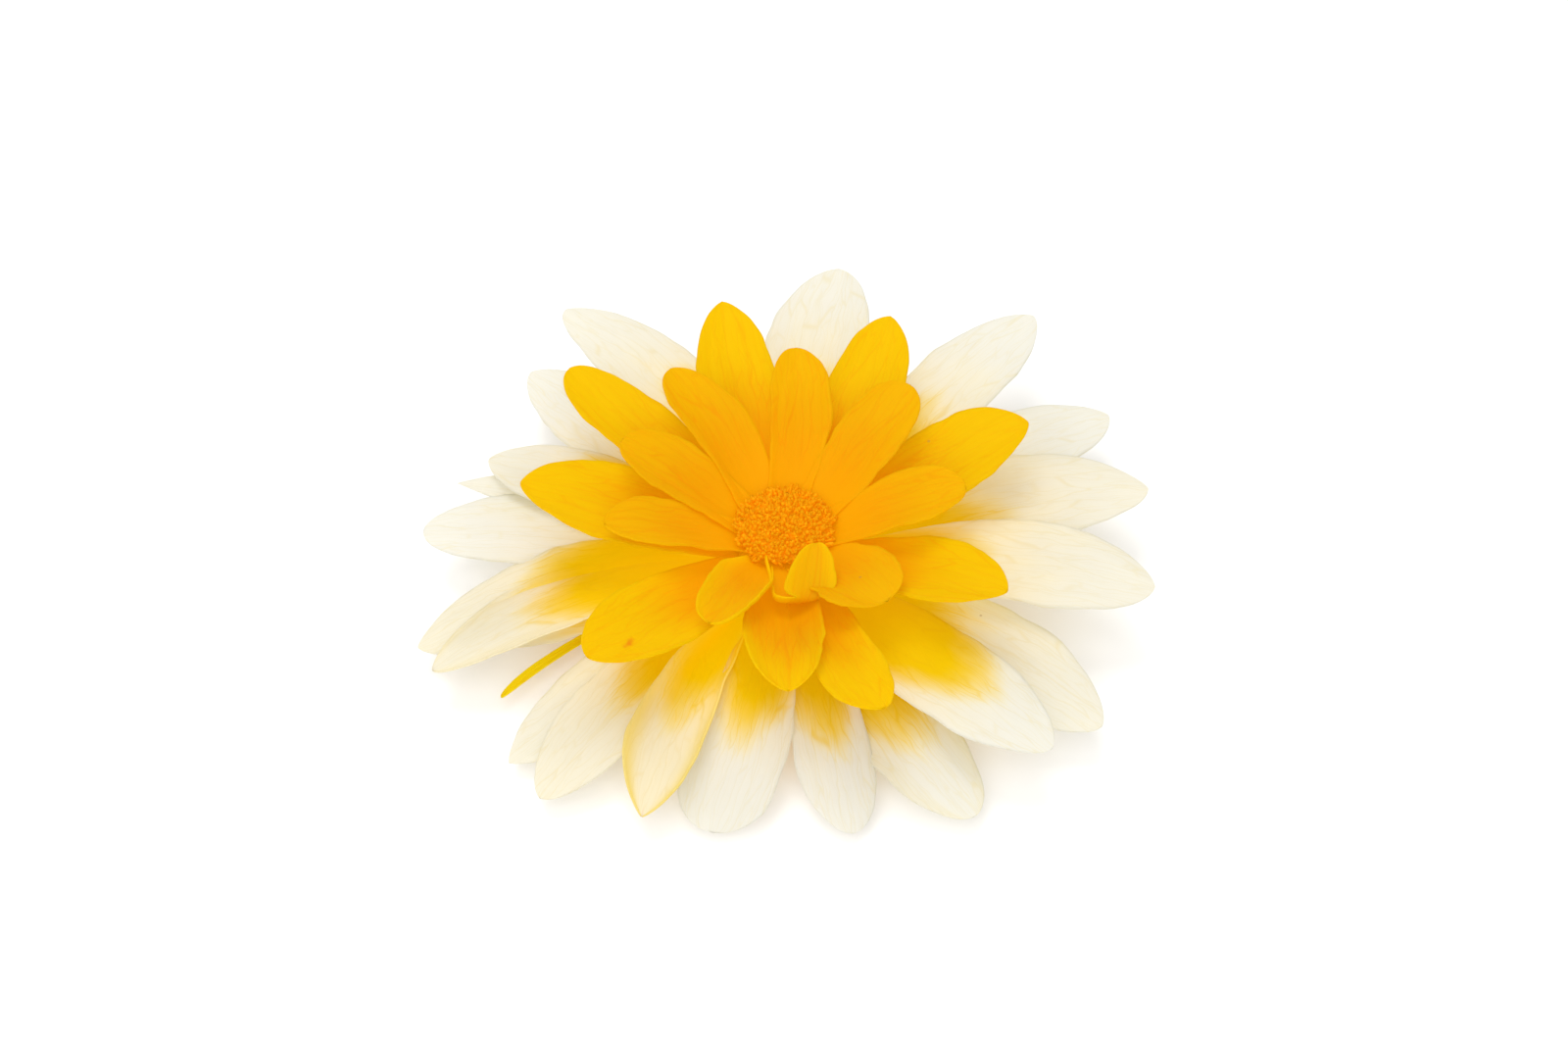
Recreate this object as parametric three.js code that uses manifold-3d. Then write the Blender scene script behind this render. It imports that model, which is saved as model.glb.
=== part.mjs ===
// A preserved dahlia head without its stem: two rows of white petals, a row of yellow ones, a row of golden
// ones round the orange disc, five narrow under petals and the receptacle they all grow from.
// Millimetres, +Z up. The origin is the centre of the flat cut face under the receptacle, which rests
// at z = 0.
import * as THREE from 'three';
import { mergeVertices } from 'three/addons/utils/BufferGeometryUtils.js';
import Module from 'manifold-3d';

const wasm = await Module();
wasm.setup();

// Driving dimensions
const BLADE = 0.6; // thickness of a petal
const PETAL_GRID = { stations: 9, strips: 4 }; // steps along a petal and strips across it
const SLIM_GRID = { stations: 6, strips: 2 }; // the same on the narrow under petals and the bracts
const TIP_HALF = 0.35; // half the blunt width left at a petal's tip
const TIP_CROWDING = 1.25; // above 1, the steps along a petal are closer near its tip
const SHOULDER = 1.3; // how late a petal widens from its claw
const TWIST_BY = 0.4; // share of the length by which a petal's roll is complete
const WAIST_AT = 0.55; // where along a folded petal its near side is taken in
const WAIST_SPREAD = 0.12; // over what share of the length
const CLEAR = 0.3; // gap between neighbouring pieces
const ROUND = 24; // sides of the turned pieces

// The receptacle: a flat cut foot, a cup, and a post that narrows at each row of petals
const FOOT_RADIUS = 5;
const CUP_RADIUS = 7;
const CUP_TOP = 2;
const CUP_EDGE = 1.2; // height at which the cup is widest
const UNDER_POST = 4.6;
const WHITE_POST = 4;
const YELLOW_POST = 3.5;
const GOLDEN_POST = 3;

// Heights of the rings that hold each row of petals together, bottom and top, and their outer radii
const UNDER_RING = { bottom: CUP_TOP + CLEAR, top: 3.7, radius: 6.6, post: UNDER_POST };
const WHITE_RING = { bottom: UNDER_RING.top + CLEAR, top: 6.3, radius: 7, post: WHITE_POST };
const YELLOW_RING = { bottom: WHITE_RING.top + CLEAR, top: 8.2, radius: 6.2, post: YELLOW_POST };
const GOLDEN_RING = { bottom: YELLOW_RING.top + CLEAR, top: 9.7, radius: 5.6, post: GOLDEN_POST };

// The disc: a domed core on the post's end, covered by short florets that stand out of it
const DISC_BOTTOM = GOLDEN_RING.top + CLEAR;
const DISC_RADIUS = 5.2;
const DISC_RIM = 11;
const DISC_TOP = 12;
const DISC_SHOULDER = 0.7; // share of the radius and of the rise at which the dome is bent
const FLORETS = 76;
const FLORET_LENGTH = 1.5;
const FLORET_SINK = 0.6;
const FLORET_BASE = 0.32;
const FLORET_HEAD = 0.42;
const FLORET_SIDES = 4;
const FLORET_LEAN = 0.75; // outward lean at the rim, in radians
const FLORET_SEAT = 0.2; // how far below the dome's curve a floret is seated

// Bracts under the petals
const BRACTS = 8;
const BRACT = {
  ...SLIM_GRID, root: 5.5, rootHeight: 1.1, azimuth: 0, reach: 13, tip: 1.3, width: 5, bow: 0.1, bend: 0,
  veer: 0, roll: 0, cup: 0.2, claw: 0.8, widest: 0.3, skew: 0, waist: 0, point: 0.9,
};

// What the petals of a row share. root and rootHeight: where the petal leaves its ring; width: at its
// widest; bow: how far its midrib arches; bend: how far it curves sideways; veer: how far its tip is off to
// the side; roll: twist in degrees; cup: how far its margins rise; claw: share of the width at the root;
// widest: where along it; skew: how much later the far margin is widest; waist: how much of the near side is
// taken in past a fold; point: 0.3 round to 1 pointed.
const WHITE = {
  ...PETAL_GRID, root: 5, rootHeight: 5.6, width: 11, bow: 2, bend: 0, veer: 0, roll: 0, cup: -0.6,
  claw: 0.28, widest: 0.62, skew: 0, waist: 0, point: 0.62,
};
const LOWER_WHITE = { ...WHITE, rootHeight: 4.8, bow: 1.4 };
const YELLOW = {
  ...WHITE, root: 4.6, rootHeight: 7.4, width: 9.5, bow: 0.5, cup: 0.8, claw: 0.3, widest: 0.6, point: 0.7,
};
const GOLDEN = {
  ...YELLOW, root: 4.2, rootHeight: 9.1, width: 8, bow: 1, claw: 0.35, widest: 0.62, point: 0.55,
};
const UNDER = {
  ...WHITE, ...SLIM_GRID, root: 5.4, rootHeight: 3, width: 3.2, bow: 0, cup: 1, claw: 0.5, widest: 0.55,
  point: 0.8,
};

// One petal of a row: its azimuth in degrees, how far its tip reaches out, how high its tip is,
// and what differs from the row.
const petal = (row, azimuth, reach, tip, more = {}) => ({ ...row, azimuth, reach, tip, ...more });

const whitePetals = [
  petal(LOWER_WHITE, 11, 42, 8, { width: 12.2, bend: 1.9, point: 0.68 }),
  petal(LOWER_WHITE, 29, 43, 6, { bend: 1.2 }),
  petal(WHITE, 48, 44, 10, { width: 10.2, bend: 0.2, veer: 0.3 }),
  petal(WHITE, 81, 42, 9, { width: 12, bend: 0.7, point: 0.55 }),
  petal(WHITE, 127, 42.5, 10, { width: 10, bend: -3 }),
  petal(LOWER_WHITE, 137, 40.5, 6),
  petal(WHITE, 158, 36.4, 6.6, { width: 9.5 }),
  petal(LOWER_WHITE, 163, 39, 5, { width: 5.8, bend: -1.3, point: 1 }),
  petal(LOWER_WHITE, 175, 40.8, 6, { rootHeight: 5.2, width: 10.5, bow: 0.2, bend: -1.9, point: 0.5 }),
  petal(WHITE, 195, 42, 3, { width: 12.8, bow: 2.1, bend: -1.2, widest: 0.5, point: 0.72 }),
  petal(WHITE, 202, 41.5, 5, { bend: -2.5, roll: 18 }),
  petal(LOWER_WHITE, 221, 39.5, 2, { width: 10, bend: 0.5, point: 0.8 }),
  petal(WHITE, 231, 40.7, 2.8, { width: 9.4, bend: -0.7, veer: -0.8, claw: 0.25, widest: 0.68 }),
  petal(WHITE, 246, 37.3, 3.5, { width: 8.6, bend: -1.2, cup: 1.1, claw: 0.15, widest: 0.76, point: 0.8 }),
  petal(WHITE, 259, 35.5, 1.5, {
    rootHeight: 5.9, width: 10.8, bow: 3.4, bend: 1, veer: -0.9, claw: 0.18, widest: 0.79, point: 0.5,
  }),
  petal(WHITE, 281, 35.6, 1.5, {
    rootHeight: 5.2, width: 8.3, bow: 3, bend: -0.2, veer: 0.6, claw: 0.2, widest: 0.76, point: 0.58,
  }),
  petal(LOWER_WHITE, 301, 39.1, 2.5, { width: 11.1, bend: -1.1, veer: 0.2, point: 0.55 }),
  petal(WHITE, 315, 40.3, 8, { width: 11.6, bend: -0.7, claw: 0.38, widest: 0.58 }),
  petal(LOWER_WHITE, 326, 41.5, 5, { width: 12, bend: 1.7 }),
  petal(WHITE, 350, 41.5, 9, { width: 11.8, bend: 1.3, widest: 0.66 }),
];

const yellowPetals = [
  petal(YELLOW, 22, 29.5, 16, { width: 11 }),
  petal(YELLOW, 65, 29, 17, { width: 9, bend: -1 }),
  petal(YELLOW, 104, 29.5, 17, { width: 9, bend: 0.5 }),
  petal(YELLOW, 142, 31, 16, { width: 8.2, bend: 0.5, widest: 0.66, point: 0.55 }),
  petal(YELLOW, 176, 29.2, 16, { width: 11 }),
  petal(YELLOW, 226, 30, 15, { width: 10.5, point: 0.55 }),
  petal(YELLOW, 271, 26, 15, { width: 8.7, bend: -0.3, widest: 0.56, point: 0.52 }),
  petal(YELLOW, 290, 30.2, 15, { width: 7.8, bend: -1.1, veer: 0.1, widest: 0.7, skew: -0.12, point: 0.5 }),
  petal(YELLOW, 331, 27.5, 16, { bend: 0.5 }),
];

// The petal at 282 degrees is folded: its midrib runs out to a knee and back over itself.
const goldenPetals = [
  petal(GOLDEN, 1, 20, 17),
  petal(GOLDEN, 46, 20.5, 18, { bend: -0.4 }),
  petal(GOLDEN, 86, 20.5, 18, { width: 7, bend: -1 }),
  petal(GOLDEN, 126, 21.5, 18, { width: 7.5, bend: -0.7, veer: 0.5, widest: 0.56, point: 0.6 }),
  petal(GOLDEN, 157, 19.5, 17, { width: 7.6, veer: 0.3 }),
  petal(GOLDEN, 191, 20, 16, { width: 7 }),
  petal(GOLDEN, 238, 18.4, 14.8, { width: 7.1, bend: 1, veer: 2, widest: 0.42, point: 0.3 }),
  petal(GOLDEN, 282, 6.2, 14.8, {
    knee: { out: 18.6, up: 12 }, width: 6.8, bend: -0.9, veer: 2.1, claw: 0.9, widest: 0.3, waist: 0.6,
    point: 0.4,
  }),
  petal(GOLDEN, 309, 17.5, 14.6, { width: 9.8, point: 0.42 }),
];

const underPetals = [
  petal(UNDER, 9, 34, 3),
  petal(UNDER, 72, 33, 2.5),
  petal(UNDER, 141, 34, 2),
  petal(UNDER, 202, 35.2, 2, {
    width: 1.8, bend: -1.5, veer: 4.1, cup: 0.4, claw: 0.3, widest: 0.8, point: 0.5,
  }),
  petal(UNDER, 295, 29, 1.5),
];

// Share of the full width at a place along the petal, from 0 at the root to 1 at the tip.
function widthShare(shape, along, across) {
  const widest = shape.widest + shape.skew * across;
  if (along < widest) {
    const rise = Math.sin((along / widest) * Math.PI / 2);
    return shape.claw + (1 - shape.claw) * rise ** SHOULDER;
  }
  const past = (along - widest) / (1 - widest);
  return Math.max(1 - past * past, 0) ** shape.point;
}

// Share of the half width that is left on the near side where a folded petal is taken in.
function takenIn(shape, along, across) {
  if (across >= 0) {
    return 1;
  }
  return 1 - shape.waist * Math.exp(-(((along - WAIST_AT) / WAIST_SPREAD) ** 2));
}

// A point of the petal's middle surface: along runs from root to tip, across from -1 to 1 between its
// margins.
function petalPoint(shape, along, across) {
  const azimuth = THREE.MathUtils.degToRad(shape.azimuth);
  const knee = shape.knee ?? {
    out: (shape.root + shape.reach) / 2,
    up: (shape.rootHeight + shape.tip) / 2 + 2 * shape.bow,
  };
  const midrib = new THREE.QuadraticBezierCurve(
    new THREE.Vector2(shape.root, shape.rootHeight),
    new THREE.Vector2(knee.out, knee.up),
    new THREE.Vector2(shape.reach, shape.tip),
  ).getPoint(along);
  const outward = new THREE.Vector3(Math.cos(azimuth), Math.sin(azimuth), 0);
  const sideways = new THREE.Vector3(-Math.sin(azimuth), Math.cos(azimuth), 0);
  const share = widthShare(shape, along, across);
  const half = Math.max(shape.width * share / 2, TIP_HALF) * takenIn(shape, along, across);
  const twist = THREE.MathUtils.degToRad(shape.roll) * Math.min(1, along / TWIST_BY);
  const midribOffset = shape.bend * 4 * along * (1 - along) + shape.veer * along * along;
  const offset = midribOffset + half * across * Math.cos(twist);
  const lift = half * across * Math.sin(twist) + shape.cup * share * across * across;
  return outward.multiplyScalar(midrib.x)
    .addScaledVector(sideways, offset)
    .add(new THREE.Vector3(0, 0, midrib.y + lift));
}

// The direction square to the middle surface there, on its upper side.
function petalNormal(shape, along, across) {
  const step = 0.01;
  const a = Math.min(Math.max(along, step), 1 - step);
  const alongEdge = petalPoint(shape, a + step, across).sub(petalPoint(shape, a - step, across));
  const acrossEdge = petalPoint(shape, a, across + step).sub(petalPoint(shape, a, across - step));
  return alongEdge.cross(acrossEdge).normalize();
}

// A petal as a closed blade: two like faces of triangles, half a thickness to each side, and the rim
// between them.
function bladeGeometry(shape) {
  const { stations, strips } = shape;
  const row = strips + 1;
  const layer = (stations + 1) * row;
  const positions = [];
  for (const side of [1, -1]) {
    for (let i = 0; i <= stations; i += 1) {
      const along = 1 - (1 - i / stations) ** TIP_CROWDING;
      for (let j = 0; j <= strips; j += 1) {
        const across = 2 * j / strips - 1;
        const place = petalPoint(shape, along, across);
        place.addScaledVector(petalNormal(shape, along, across), side * BLADE / 2);
        positions.push(...place);
      }
    }
  }
  const index = [];
  const quad = (a, b, c, d) => index.push(a, b, c, a, c, d);
  for (let i = 0; i < stations; i += 1) {
    for (let j = 0; j < strips; j += 1) {
      const a = i * row + j;
      quad(a, a + row, a + row + 1, a + 1);
      index.push(a + layer, a + row + 1 + layer, a + row + layer);
      index.push(a + layer, a + 1 + layer, a + row + 1 + layer);
    }
    const left = i * row;
    const right = left + strips;
    quad(left, left + layer, left + row + layer, left + row);
    quad(right, right + row, right + row + layer, right + layer);
  }
  for (let j = 0; j < strips; j += 1) {
    const tip = stations * row + j;
    quad(j, j + 1, j + 1 + layer, j + layer);
    quad(tip, tip + layer, tip + 1 + layer, tip + 1);
  }
  const geometry = new THREE.BufferGeometry();
  geometry.setAttribute('position', new THREE.Float32BufferAttribute(positions, 3));
  geometry.setIndex(index);
  return geometry;
}

// A geometry as a solid that can be joined or cut, and back again.
function toSolid(geometry) {
  const bare = geometry.clone();
  bare.deleteAttribute('normal');
  bare.deleteAttribute('uv');
  const merged = mergeVertices(bare, 1e-4);
  return new wasm.Manifold(new wasm.Mesh({
    numProp: 3,
    vertProperties: Float32Array.from(merged.attributes.position.array),
    triVerts: Uint32Array.from(merged.index.array),
  }));
}

function toGeometry(solid) {
  const mesh = solid.getMesh();
  const geometry = new THREE.BufferGeometry();
  geometry.setAttribute('position', new THREE.Float32BufferAttribute(mesh.vertProperties, 3));
  geometry.setIndex(Array.from(mesh.triVerts));
  return geometry;
}

// A turned piece from its outline, given as radius and height, standing on +Z.
function turned(outline) {
  const profile = outline.map(([radius, height]) => new THREE.Vector2(radius, height));
  return new THREE.LatheGeometry(profile, ROUND).rotateX(Math.PI / 2);
}

function ring({ bottom, top, radius, post }) {
  const hole = post + CLEAR;
  return turned([[hole, bottom], [radius, bottom], [radius, top], [hole, top], [hole, bottom]]);
}

function joined(geometries) {
  return toGeometry(geometries.map(toSolid).reduce((whole, next) => whole.add(next)));
}

// The petals of one row, fused to the ring they grow from.
function petalRow(ringSizes, petals) {
  return joined([ring(ringSizes), ...petals.map(bladeGeometry)]);
}

function calyx() {
  const body = turned([
    [0, 0],
    [FOOT_RADIUS, 0],
    [CUP_RADIUS, CUP_EDGE],
    [CUP_RADIUS, CUP_TOP],
    [UNDER_POST, CUP_TOP],
    [UNDER_POST, UNDER_RING.top],
    [WHITE_POST, UNDER_RING.top],
    [WHITE_POST, WHITE_RING.top],
    [YELLOW_POST, WHITE_RING.top],
    [YELLOW_POST, YELLOW_RING.top],
    [GOLDEN_POST, YELLOW_RING.top],
    [GOLDEN_POST, GOLDEN_RING.top],
    [0, GOLDEN_RING.top],
  ]);
  const bracts = [];
  for (let k = 0; k < BRACTS; k += 1) {
    bracts.push(bladeGeometry({ ...BRACT, azimuth: (k + 0.5) * 360 / BRACTS }));
  }
  return joined([body, ...bracts]);
}

// One floret at the origin, standing on +Z, wider at its head than at its foot.
function floret() {
  const height = FLORET_LENGTH + FLORET_SINK;
  const geometry = new THREE.CylinderGeometry(FLORET_HEAD, FLORET_BASE, height, FLORET_SIDES);
  return geometry.rotateX(Math.PI / 2).translate(0, 0, (FLORET_LENGTH - FLORET_SINK) / 2);
}

// The florets stand on the dome in a spiral, each a golden angle on from the last.
function discFlorets() {
  const core = turned([
    [0, DISC_BOTTOM],
    [GOLDEN_POST, DISC_BOTTOM],
    [DISC_RADIUS, DISC_RIM],
    [DISC_RADIUS * DISC_SHOULDER, DISC_RIM + (DISC_TOP - DISC_RIM) * DISC_SHOULDER],
    [0, DISC_TOP],
  ]);
  const florets = [];
  const goldenAngle = Math.PI * (3 - Math.sqrt(5));
  for (let k = 0; k < FLORETS; k += 1) {
    const share = Math.sqrt((k + 0.5) / FLORETS);
    const radius = share * (DISC_RADIUS - FLORET_BASE / 2);
    const height = DISC_TOP - (DISC_TOP - DISC_RIM) * share * share - FLORET_SEAT;
    const lean = share * FLORET_LEAN;
    florets.push(floret()
      .rotateY(lean)
      .translate(radius, 0, height)
      .rotateZ(k * goldenAngle));
  }
  return joined([core, ...florets]);
}

function matte(colour, roughness) {
  return new THREE.MeshStandardMaterial({ color: colour, roughness, metalness: 0 });
}

const PIECES = [
  ['calyx', calyx(), matte(0x9aa352, 0.8)],
  ['under_petals', petalRow(UNDER_RING, underPetals), matte(0xd9bd2c, 0.75)],
  ['white_petals', petalRow(WHITE_RING, whitePetals), matte(0xf6ecd2, 0.75)],
  ['yellow_petals', petalRow(YELLOW_RING, yellowPetals), matte(0xf8b800, 0.7)],
  ['golden_petals', petalRow(GOLDEN_RING, goldenPetals), matte(0xf7a800, 0.7)],
  ['disc_florets', discFlorets(), matte(0xee8e02, 0.85)],
];

const dahlia = new THREE.Group();
for (const [name, geometry, material] of PIECES) {
  const mesh = new THREE.Mesh(geometry, material);
  mesh.name = name;
  dahlia.add(mesh);
}

export default dahlia;
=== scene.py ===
"""A preserved dahlia head, laid face up on a pale floor.

Two rows of white petals with golden bases, a row of yellow petals and a row of golden ones stand round an
orange disc of curly florets. Five narrow under petals and the receptacle with its bracts are below them.
Sizes in the tables are millimetres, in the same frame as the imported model. Meshes are written in metres.
"""

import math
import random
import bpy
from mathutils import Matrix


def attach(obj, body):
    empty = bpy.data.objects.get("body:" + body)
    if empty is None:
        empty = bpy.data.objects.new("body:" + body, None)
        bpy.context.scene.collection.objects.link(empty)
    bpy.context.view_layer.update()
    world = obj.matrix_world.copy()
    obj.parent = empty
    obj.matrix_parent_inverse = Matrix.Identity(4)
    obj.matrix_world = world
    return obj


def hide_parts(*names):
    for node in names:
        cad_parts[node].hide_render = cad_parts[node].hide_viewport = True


bl_info = {
    "name": "Preserved dahlia",
    "version": (1, 0, 0),
    "blender": (4, 5, 0),
    "location": "View3D > Sidebar > Dahlia",
    "description": "Builds a preserved dahlia head, petal row by petal row, and a pale studio round it",
    "category": "Add Mesh",
}

import bmesh
import bpy
from mathutils import Matrix, Vector, noise

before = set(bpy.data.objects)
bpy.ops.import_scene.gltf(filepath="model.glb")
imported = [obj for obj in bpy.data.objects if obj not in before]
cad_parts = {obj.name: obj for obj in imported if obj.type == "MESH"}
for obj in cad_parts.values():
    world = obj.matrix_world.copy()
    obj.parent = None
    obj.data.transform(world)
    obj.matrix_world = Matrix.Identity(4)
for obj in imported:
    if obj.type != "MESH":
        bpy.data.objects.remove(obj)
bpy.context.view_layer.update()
MM = 0.001


def linear(red, green, blue):
    """A screen colour, each channel 0 to 255, as the linear values that shaders use."""
    shares = (channel / 255 for channel in (red, green, blue))
    return tuple(share / 12.92 if share <= 0.04045 else ((share + 0.055) / 1.055) ** 2.4 for share in shares)


# Petal tables
# A petal's measures, in millimetres, or as shares of its length or width where the words say so
# root, root_height: where it leaves its collar; reach, tip: how far out and how high its tip is
# width: at its widest; bow: how far its midrib arches; knee: where the midrib of a folded petal turns back
# bend: how far the midrib curves sideways; veer: how far the tip is off to the side; roll: twist in degrees
# cup: how far its margins rise; claw: share of the width at the root; widest: where along it
# point: 0.3 round to 1 pointed; skew: how much later the far margin is widest
# waist: share of the near side that is taken in past a fold; fold: depth of the crease along the midrib
# furl: how far the two margins are rolled up, in radians; furl_from: share of the half width where a roll
# starts; furl_to: share of the length where it ends; gutter: depth of the channelled claw
# wave: how far the margins undulate; uneven: how far the blade undulates
# gold: how far along the golden base reaches; slant: how much further on the far side
# tint: yellow all over, which also strengthens its painted glow
# margin: how far its margins take the row's margin colour, yellow dye on white petals, a painted highlight on
# golden ones; stains: brown spots, each (along, across, radius, strength)
WHITE = dict(
    root=5, root_height=5.6, width=11, bow=2, bend=0, veer=0, roll=0, cup=-0.6, claw=0.36, widest=0.62,
    point=0.62, skew=0, waist=0, fold=0.25, furl=(0, 0), furl_from=0.6, furl_to=2, gutter=0.5, wave=0.25,
    uneven=0.3, gold=0.42, slant=0, tint=0, margin=0, stains=(),
)
LOWER_WHITE = dict(WHITE, root_height=4.8, bow=1.4)
YELLOW = dict(
    WHITE, root=4.6, root_height=7.4, width=9.5, bow=0.5, cup=0.8, claw=0.55, widest=0.6, point=0.7,
    fold=0.15, wave=0.15, uneven=0.25, gold=0.5,
)
GOLDEN = dict(
    YELLOW, root=4.2, root_height=9.1, width=8, bow=1, claw=0.66, widest=0.62, point=0.55, wave=0.2,
)
UNDER = dict(
    WHITE, root=5.4, root_height=3, width=3.2, bow=0, cup=1, claw=0.5, widest=0.55, point=0.8, fold=0,
    wave=0.1, uneven=0.15,
)


def petal(row, azimuth, reach, tip, **more):
    """One petal of a row: its azimuth in degrees, how far out and how high its tip is, and what differs."""
    return {**row, "azimuth": azimuth, "reach": reach, "tip": tip, **more}


WHITE_PETALS = (
    petal(LOWER_WHITE, 11, 42, 8, width=12.2, bend=1.9, point=0.68, gold=0.4, slant=-0.15, tint=0.15),
    petal(LOWER_WHITE, 29, 43, 6, bend=1.2, gold=0.35),
    petal(WHITE, 48, 44, 10, width=10.2, bend=0.2, veer=0.3, gold=0.42),
    petal(WHITE, 81, 42, 9, width=12, bend=0.7, point=0.55, gold=0.45, tint=0.05),
    petal(WHITE, 127, 42.5, 10, width=10, bend=-3, gold=0.45, slant=-0.1, tint=0.08),
    petal(LOWER_WHITE, 137, 40.5, 6, gold=0.4),
    petal(WHITE, 158, 36.4, 6.6, width=9.5, gold=0.6, slant=-0.1, tint=0.12),
    petal(LOWER_WHITE, 163, 39, 5, width=5.8, bend=-1.3, point=1, gold=0.45, tint=0.1),
    petal(LOWER_WHITE, 175, 40.8, 6, root_height=5.2, width=10.5, bow=0.2, bend=-1.9, point=0.5, gold=0.34),
    petal(WHITE, 195, 42, 3, width=12.8, bow=2.1, bend=-1.2, widest=0.5, point=0.72, gold=0.6, tint=0.25),
    petal(WHITE, 202, 41.5, 5, bend=-2.5, roll=18, gold=0.58, tint=0.25, furl=(0.9, 1.1), furl_from=0.75,
          margin=0.15),
    petal(LOWER_WHITE, 221, 39.5, 2, width=10, bend=0.5, point=0.8, gold=0.5, tint=0.15),
    petal(WHITE, 231, 40.7, 2.8, width=9.4, bend=-0.7, veer=-0.8, claw=0.25, widest=0.68, fold=0.9,
          gold=0.54, tint=0.25),
    petal(WHITE, 246, 37.3, 3.5, width=9, bend=-1.2, cup=1.1, claw=0.15, widest=0.76, point=0.8, fold=0,
          furl=(0.6, 1.6), furl_from=0.72, gold=0.56, tint=0.5, margin=0.65,
          stains=((1, 0, 0.03, 0.2),)),
    petal(WHITE, 259, 35.5, 1.5, root_height=5.9, width=10.8, bow=3.4, bend=1, veer=-0.9, claw=0.18,
          widest=0.79, point=0.5, gold=0.585),
    petal(WHITE, 281, 35.6, 1.5, root_height=5.2, width=8.3, bow=3, bend=-0.2, veer=0.6, claw=0.2,
          widest=0.76, point=0.58, gold=0.6),
    petal(LOWER_WHITE, 301, 39.1, 2.5, width=11.1, bend=-1.1, veer=0.2, point=0.55, gold=0.6, margin=0.1),
    petal(WHITE, 315, 40.3, 8, width=11.6, bend=-0.7, claw=0.38, widest=0.58, gold=0.64, slant=0.08),
    petal(LOWER_WHITE, 326, 41.5, 5, width=12, bend=1.7, gold=0.4, tint=0.1),
    petal(WHITE, 350, 41.5, 9, width=11.8, bend=1.3, widest=0.66, gold=0.38, tint=0.1),
)

YELLOW_PETALS = (
    petal(YELLOW, 22, 29.5, 16, width=10.4, bend=-0.2, skew=0.08),
    petal(YELLOW, 65, 29, 17, width=9, bend=-1),
    petal(YELLOW, 104, 29.5, 17, width=9, bend=0.5),
    petal(YELLOW, 142, 31, 16, width=7.9, bend=0.3, widest=0.66, skew=0.1, point=0.55),
    petal(YELLOW, 176, 29.2, 16, width=11),
    petal(YELLOW, 226, 30, 15, width=10.5, point=0.55,
          stains=((0.775, 0.17, 0.014, 0.5), (0.79, 0.21, 0.016, 0.7), (0.81, 0.26, 0.016, 0.9),
                  (0.83, 0.3, 0.014, 0.7))),
    petal(YELLOW, 271, 26, 15, width=8.9, bend=-0.3, cup=1.2, widest=0.56, point=0.52, fold=0.3,
          furl=(0.4, 0.7), furl_from=0.68, gold=0.72),
    petal(YELLOW, 290, 30.2, 15, width=7.8, bend=-1.1, veer=0.1, widest=0.7, skew=-0.12, point=0.5,
          gold=0.62),
    petal(YELLOW, 331, 27.5, 16, bend=0.5),
)

# The petal at 282 degrees is folded: its midrib runs out to a knee and back over itself.
GOLDEN_PETALS = (
    petal(GOLDEN, 1, 20, 17),
    petal(GOLDEN, 46, 20.5, 18, bend=-0.4),
    petal(GOLDEN, 86, 20.5, 18, width=7, bend=-1),
    petal(GOLDEN, 126, 21.5, 18, width=7, bend=-0.8, veer=0.2, widest=0.58, skew=0.14, point=0.6),
    petal(GOLDEN, 157, 19.5, 17, width=7.6, veer=0.3),
    petal(GOLDEN, 191, 20, 16, width=7),
    # The petals at 238 and 282 degrees have a painted highlight on their rolled margins
    petal(GOLDEN, 238, 18.4, 14.8, width=7.1, bend=1, veer=2, claw=0.35, widest=0.42, point=0.3,
          furl=(0.3, 2), furl_from=0.7, gutter=0.2, margin=0.6),
    petal(GOLDEN, 282, 6.2, 14.8, root_height=9.9, width=7.2, knee=(18.6, 12), bend=-0.9, veer=2.1, claw=1,
          widest=0.3, point=0.4, waist=0.7, furl=(2.2, 0), furl_from=0.66, furl_to=0.55, gutter=0,
          margin=0.6),
    petal(GOLDEN, 309, 17.5, 14.6, width=9.8, point=0.42),
)

UNDER_PETALS = (
    petal(UNDER, 9, 34, 3),
    petal(UNDER, 72, 33, 2.5),
    petal(UNDER, 141, 34, 2),
    petal(UNDER, 202, 35.2, 2, width=1.2, bend=-1.5, veer=4.1, cup=0.4, claw=0.2, widest=0.86, point=0.4),
    petal(UNDER, 295, 29, 1.5),
)

# The collar of each row: bottom, top, outer radius and the hole that the receptacle's post fills
COLLARS = {
    "under_petals": (2.3, 3.7, 6.6, 4.9),
    "white_petals": (4, 6.3, 7, 4.3),
    "yellow_petals": (6.6, 8.2, 6.2, 3.8),
    "golden_petals": (8.5, 9.7, 5.6, 3.3),
}
# How a collar is rounded and grooved: the height of its edges, the radii of its outline as shares of its own,
# how far out from its hole the grooves start, and how deep they are and how far it is drawn in, as shares
COLLAR_EDGE = 0.2
COLLAR_SHARES = (0.9, 0.98, 0.96, 0.86)
COLLAR_WALL = 1.15
COLLAR_GROOVE = 0.03
COLLAR_INSET = 0.01
COLLAR_SWAY = 0.3  # how far across a petal its dye is read

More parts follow.
